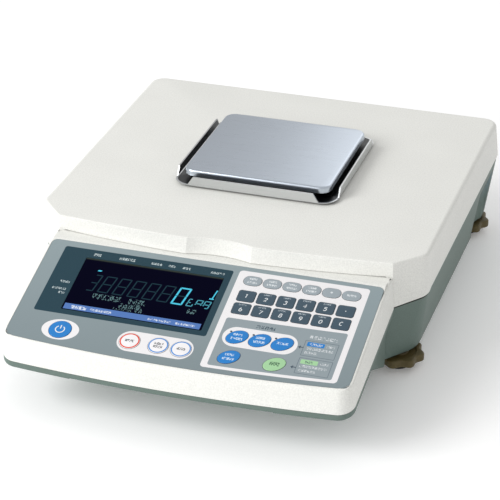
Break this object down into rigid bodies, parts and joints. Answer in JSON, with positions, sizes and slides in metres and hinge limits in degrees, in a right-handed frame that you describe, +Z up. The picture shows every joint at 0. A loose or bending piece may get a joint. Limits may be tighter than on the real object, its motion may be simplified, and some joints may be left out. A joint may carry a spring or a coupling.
{
  "type": "counting scale",
  "caption": "Bench counting scale: small steel pan in a drip tray on a broad flat cover, sloping front console with keypad and dark display, on lobed levelling feet.",
  "frame": {"origin": "middle of the footprint, at the level the feet stand on", "axes": "+X to the user's right, +Y to the rear, away from the console, +Z up"},
  "size_m": [0.331, 0.4478, 0.1225],
  "materials": {
    "warm_white_plastic": "fine-grained moulded ABS",
    "grey_green_plastic": "fine-grained moulded ABS",
    "overlay_film": "printed polyester film, satin",
    "dark_window": "smoked acrylic window over a dark display",
    "brushed_stainless": "stainless sheet brushed from side to side",
    "cast_alloy": "as machined",
    "plated_steel": "zinc or nickel plate, dull",
    "bronze_plastic": "moulded, bronze brown",
    "black_rubber": "soft",
    "green_board": "glass-epoxy board with solder mask",
    "black_plastic": "moulded",
    "grey_key": "film-covered key",
    "slate_key": "film-covered key",
    "blue_key": "film-covered key",
    "green_key": "film-covered key",
    "white_key": "film-covered key"
  },
  "bodies": {
    "housing": {"top_cover": "warm_white_plastic", "console_top_case": "warm_white_plastic", "base_housing": "grey_green_plastic", "console_bottom_case": "grey_green_plastic", "keypad_overlay": "overlay_film", "display_window": "dark_window", "display_tube": "dark_window", "pan_tray": "brushed_stainless", "load_cell": "cast_alloy", "load_cell_base_block": "cast_alloy", "overload_stop": "plated_steel", "buzzer": "plated_steel", "serial_port": "plated_steel", "main_board": "green_board", "display_board": "green_board", "dc_jack": "black_plastic", "display_cable": "black_plastic", "key_board": "green_board"},
    "weigh_platform": {"load_cell_top_block": "cast_alloy", "pan_support": "cast_alloy"},
    "pan": {"weighing_pan": "brushed_stainless"},
    "foot_front_left_pad": {"foot_pad_front_left": "black_rubber"},
    "foot_front_left_knob": {"foot_knob_front_left": "bronze_plastic", "foot_stud_front_left": "plated_steel"},
    "foot_front_right_pad": {"foot_pad_front_right": "black_rubber"},
    "foot_front_right_knob": {"foot_knob_front_right": "bronze_plastic", "foot_stud_front_right": "plated_steel"},
    "foot_rear_left_pad": {"foot_pad_rear_left": "black_rubber"},
    "foot_rear_left_knob": {"foot_knob_rear_left": "bronze_plastic", "foot_stud_rear_left": "plated_steel"},
    "foot_rear_right_pad": {"foot_pad_rear_right": "black_rubber"},
    "foot_rear_right_knob": {"foot_knob_rear_right": "bronze_plastic", "foot_stud_rear_right": "plated_steel"},
    "key_function_1_body": {"key_function_1": "grey_key"},
    "key_function_2_body": {"key_function_2": "grey_key"},
    "key_function_3_body": {"key_function_3": "grey_key"},
    "key_function_4_body": {"key_function_4": "grey_key"},
    "key_function_5_body": {"key_function_5": "grey_key"},
    "key_function_6_body": {"key_function_6": "grey_key"},
    "key_1_body": {"key_1": "slate_key"},
    "key_2_body": {"key_2": "slate_key"},
    "key_3_body": {"key_3": "slate_key"},
    "key_4_body": {"key_4": "slate_key"},
    "key_5_body": {"key_5": "slate_key"},
    "key_point_body": {"key_point": "slate_key"},
    "key_6_body": {"key_6": "slate_key"},
    "key_7_body": {"key_7": "slate_key"},
    "key_8_body": {"key_8": "slate_key"},
    "key_9_body": {"key_9": "slate_key"},
    "key_0_body": {"key_0": "slate_key"},
    "key_clear_body": {"key_clear": "slate_key"},
    "key_unit_weight_body": {"key_unit_weight": "blue_key"},
    "key_sample_body": {"key_sample": "blue_key"},
    "key_tare_entry_body": {"key_tare_entry": "blue_key"},
    "key_recall_body": {"key_recall": "blue_key"},
    "key_enter_body": {"key_enter": "green_key"},
    "key_power_body": {"key_power": "blue_key"},
    "key_zero_body": {"key_zero": "white_key"},
    "key_tare_body": {"key_tare": "white_key"},
    "key_mode_body": {"key_mode": "white_key"}
  },
  "joints": [
    {"name": "weigh_travel", "type": "slide", "parent": "housing", "child": "weigh_platform", "axis": [0, 0, -1], "range_m": [0, 0.00025], "stiffness_N_per_m": 30000, "springref_m": -0.00015},
    {"name": "pan_lift", "type": "slide", "parent": "weigh_platform", "child": "pan", "axis": [0, 0, 1], "range_m": [0, 0.03]},
    {"name": "foot_front_left_height", "type": "slide", "parent": "housing", "child": "foot_front_left_pad", "axis": [0, 0, -1], "range_m": [0, 0.0075]},
    {"name": "foot_front_left_turn", "type": "hinge", "parent": "foot_front_left_pad", "child": "foot_front_left_knob", "pos_m": [-0.14, -0.0566, 0.009], "axis": [0, 0, -1], "range_deg": [0, 2160]},
    {"name": "foot_front_right_height", "type": "slide", "parent": "housing", "child": "foot_front_right_pad", "axis": [0, 0, -1], "range_m": [0, 0.0075]},
    {"name": "foot_front_right_turn", "type": "hinge", "parent": "foot_front_right_pad", "child": "foot_front_right_knob", "pos_m": [0.14, -0.0566, 0.009], "axis": [0, 0, -1], "range_deg": [0, 2160]},
    {"name": "foot_rear_left_height", "type": "slide", "parent": "housing", "child": "foot_rear_left_pad", "axis": [0, 0, -1], "range_m": [0, 0.0075]},
    {"name": "foot_rear_left_turn", "type": "hinge", "parent": "foot_rear_left_pad", "child": "foot_rear_left_knob", "pos_m": [-0.14, 0.1964, 0.009], "axis": [0, 0, -1], "range_deg": [0, 2160]},
    {"name": "foot_rear_right_height", "type": "slide", "parent": "housing", "child": "foot_rear_right_pad", "axis": [0, 0, -1], "range_m": [0, 0.0075]},
    {"name": "foot_rear_right_turn", "type": "hinge", "parent": "foot_rear_right_pad", "child": "foot_rear_right_knob", "pos_m": [0.14, 0.1964, 0.009], "axis": [0, 0, -1], "range_deg": [0, 2160]},
    {"name": "key_function_1_press", "type": "slide", "parent": "housing", "child": "key_function_1_body", "axis": [0, 0.2773, -0.9608], "range_m": [0, 0.0005], "stiffness_N_per_m": 2000, "springref_m": -0.0002},
    {"name": "key_function_2_press", "type": "slide", "parent": "housing", "child": "key_function_2_body", "axis": [0, 0.2773, -0.9608], "range_m": [0, 0.0005], "stiffness_N_per_m": 2000, "springref_m": -0.0002},
    {"name": "key_function_3_press", "type": "slide", "parent": "housing", "child": "key_function_3_body", "axis": [0, 0.2773, -0.9608], "range_m": [0, 0.0005], "stiffness_N_per_m": 2000, "springref_m": -0.0002},
    {"name": "key_function_4_press", "type": "slide", "parent": "housing", "child": "key_function_4_body", "axis": [0, 0.2773, -0.9608], "range_m": [0, 0.0005], "stiffness_N_per_m": 2000, "springref_m": -0.0002},
    {"name": "key_function_5_press", "type": "slide", "parent": "housing", "child": "key_function_5_body", "axis": [0, 0.2773, -0.9608], "range_m": [0, 0.0005], "stiffness_N_per_m": 2000, "springref_m": -0.0002},
    {"name": "key_function_6_press", "type": "slide", "parent": "housing", "child": "key_function_6_body", "axis": [0, 0.2773, -0.9608], "range_m": [0, 0.0005], "stiffness_N_per_m": 2000, "springref_m": -0.0002},
    {"name": "key_1_press", "type": "slide", "parent": "housing", "child": "key_1_body", "axis": [0, 0.2773, -0.9608], "range_m": [0, 0.0005], "stiffness_N_per_m": 2000, "springref_m": -0.0002},
    {"name": "key_2_press", "type": "slide", "parent": "housing", "child": "key_2_body", "axis": [0, 0.2773, -0.9608], "range_m": [0, 0.0005], "stiffness_N_per_m": 2000, "springref_m": -0.0002},
    {"name": "key_3_press", "type": "slide", "parent": "housing", "child": "key_3_body", "axis": [0, 0.2773, -0.9608], "range_m": [0, 0.0005], "stiffness_N_per_m": 2000, "springref_m": -0.0002},
    {"name": "key_4_press", "type": "slide", "parent": "housing", "child": "key_4_body", "axis": [0, 0.2773, -0.9608], "range_m": [0, 0.0005], "stiffness_N_per_m": 2000, "springref_m": -0.0002},
    {"name": "key_5_press", "type": "slide", "parent": "housing", "child": "key_5_body", "axis": [0, 0.2773, -0.9608], "range_m": [0, 0.0005], "stiffness_N_per_m": 2000, "springref_m": -0.0002},
    {"name": "key_point_press", "type": "slide", "parent": "housing", "child": "key_point_body", "axis": [0, 0.2773, -0.9608], "range_m": [0, 0.0005], "stiffness_N_per_m": 2000, "springref_m": -0.0002},
    {"name": "key_6_press", "type": "slide", "parent": "housing", "child": "key_6_body", "axis": [0, 0.2773, -0.9608], "range_m": [0, 0.0005], "stiffness_N_per_m": 2000, "springref_m": -0.0002},
    {"name": "key_7_press", "type": "slide", "parent": "housing", "child": "key_7_body", "axis": [0, 0.2773, -0.9608], "range_m": [0, 0.0005], "stiffness_N_per_m": 2000, "springref_m": -0.0002},
    {"name": "key_8_press", "type": "slide", "parent": "housing", "child": "key_8_body", "axis": [0, 0.2773, -0.9608], "range_m": [0, 0.0005], "stiffness_N_per_m": 2000, "springref_m": -0.0002},
    {"name": "key_9_press", "type": "slide", "parent": "housing", "child": "key_9_body", "axis": [0, 0.2773, -0.9608], "range_m": [0, 0.0005], "stiffness_N_per_m": 2000, "springref_m": -0.0002},
    {"name": "key_0_press", "type": "slide", "parent": "housing", "child": "key_0_body", "axis": [0, 0.2773, -0.9608], "range_m": [0, 0.0005], "stiffness_N_per_m": 2000, "springref_m": -0.0002},
    {"name": "key_clear_press", "type": "slide", "parent": "housing", "child": "key_clear_body", "axis": [0, 0.2773, -0.9608], "range_m": [0, 0.0005], "stiffness_N_per_m": 2000, "springref_m": -0.0002},
    {"name": "key_unit_weight_press", "type": "slide", "parent": "housing", "child": "key_unit_weight_body", "axis": [0, 0.2773, -0.9608], "range_m": [0, 0.0005], "stiffness_N_per_m": 2000, "springref_m": -0.0002},
    {"name": "key_sample_press", "type": "slide", "parent": "housing", "child": "key_sample_body", "axis": [0, 0.2773, -0.9608], "range_m": [0, 0.0005], "stiffness_N_per_m": 2000, "springref_m": -0.0002},
    {"name": "key_tare_entry_press", "type": "slide", "parent": "housing", "child": "key_tare_entry_body", "axis": [0, 0.2773, -0.9608], "range_m": [0, 0.0005], "stiffness_N_per_m": 2000, "springref_m": -0.0002},
    {"name": "key_recall_press", "type": "slide", "parent": "housing", "child": "key_recall_body", "axis": [0, 0.2773, -0.9608], "range_m": [0, 0.0005], "stiffness_N_per_m": 2000, "springref_m": -0.0002},
    {"name": "key_enter_press", "type": "slide", "parent": "housing", "child": "key_enter_body", "axis": [0, 0.2773, -0.9608], "range_m": [0, 0.0005], "stiffness_N_per_m": 2000, "springref_m": -0.0002},
    {"name": "key_power_press", "type": "slide", "parent": "housing", "child": "key_power_body", "axis": [0, 0.2773, -0.9608], "range_m": [0, 0.0005], "stiffness_N_per_m": 2000, "springref_m": -0.0002},
    {"name": "key_zero_press", "type": "slide", "parent": "housing", "child": "key_zero_body", "axis": [0, 0.2773, -0.9608], "range_m": [0, 0.0005], "stiffness_N_per_m": 2000, "springref_m": -0.0002},
    {"name": "key_tare_press", "type": "slide", "parent": "housing", "child": "key_tare_body", "axis": [0, 0.2773, -0.9608], "range_m": [0, 0.0005], "stiffness_N_per_m": 2000, "springref_m": -0.0002},
    {"name": "key_mode_press", "type": "slide", "parent": "housing", "child": "key_mode_body", "axis": [0, 0.2773, -0.9608], "range_m": [0, 0.0005], "stiffness_N_per_m": 2000, "springref_m": -0.0002}
  ],
  "couplings": [
    {"joint": "foot_front_left_height", "follows": "foot_front_left_turn", "m_per_rad": 0.00019894},
    {"joint": "foot_front_right_height", "follows": "foot_front_right_turn", "m_per_rad": 0.00019894},
    {"joint": "foot_rear_left_height", "follows": "foot_rear_left_turn", "m_per_rad": 0.00019894},
    {"joint": "foot_rear_right_height", "follows": "foot_rear_right_turn", "m_per_rad": 0.00019894}
  ]
}
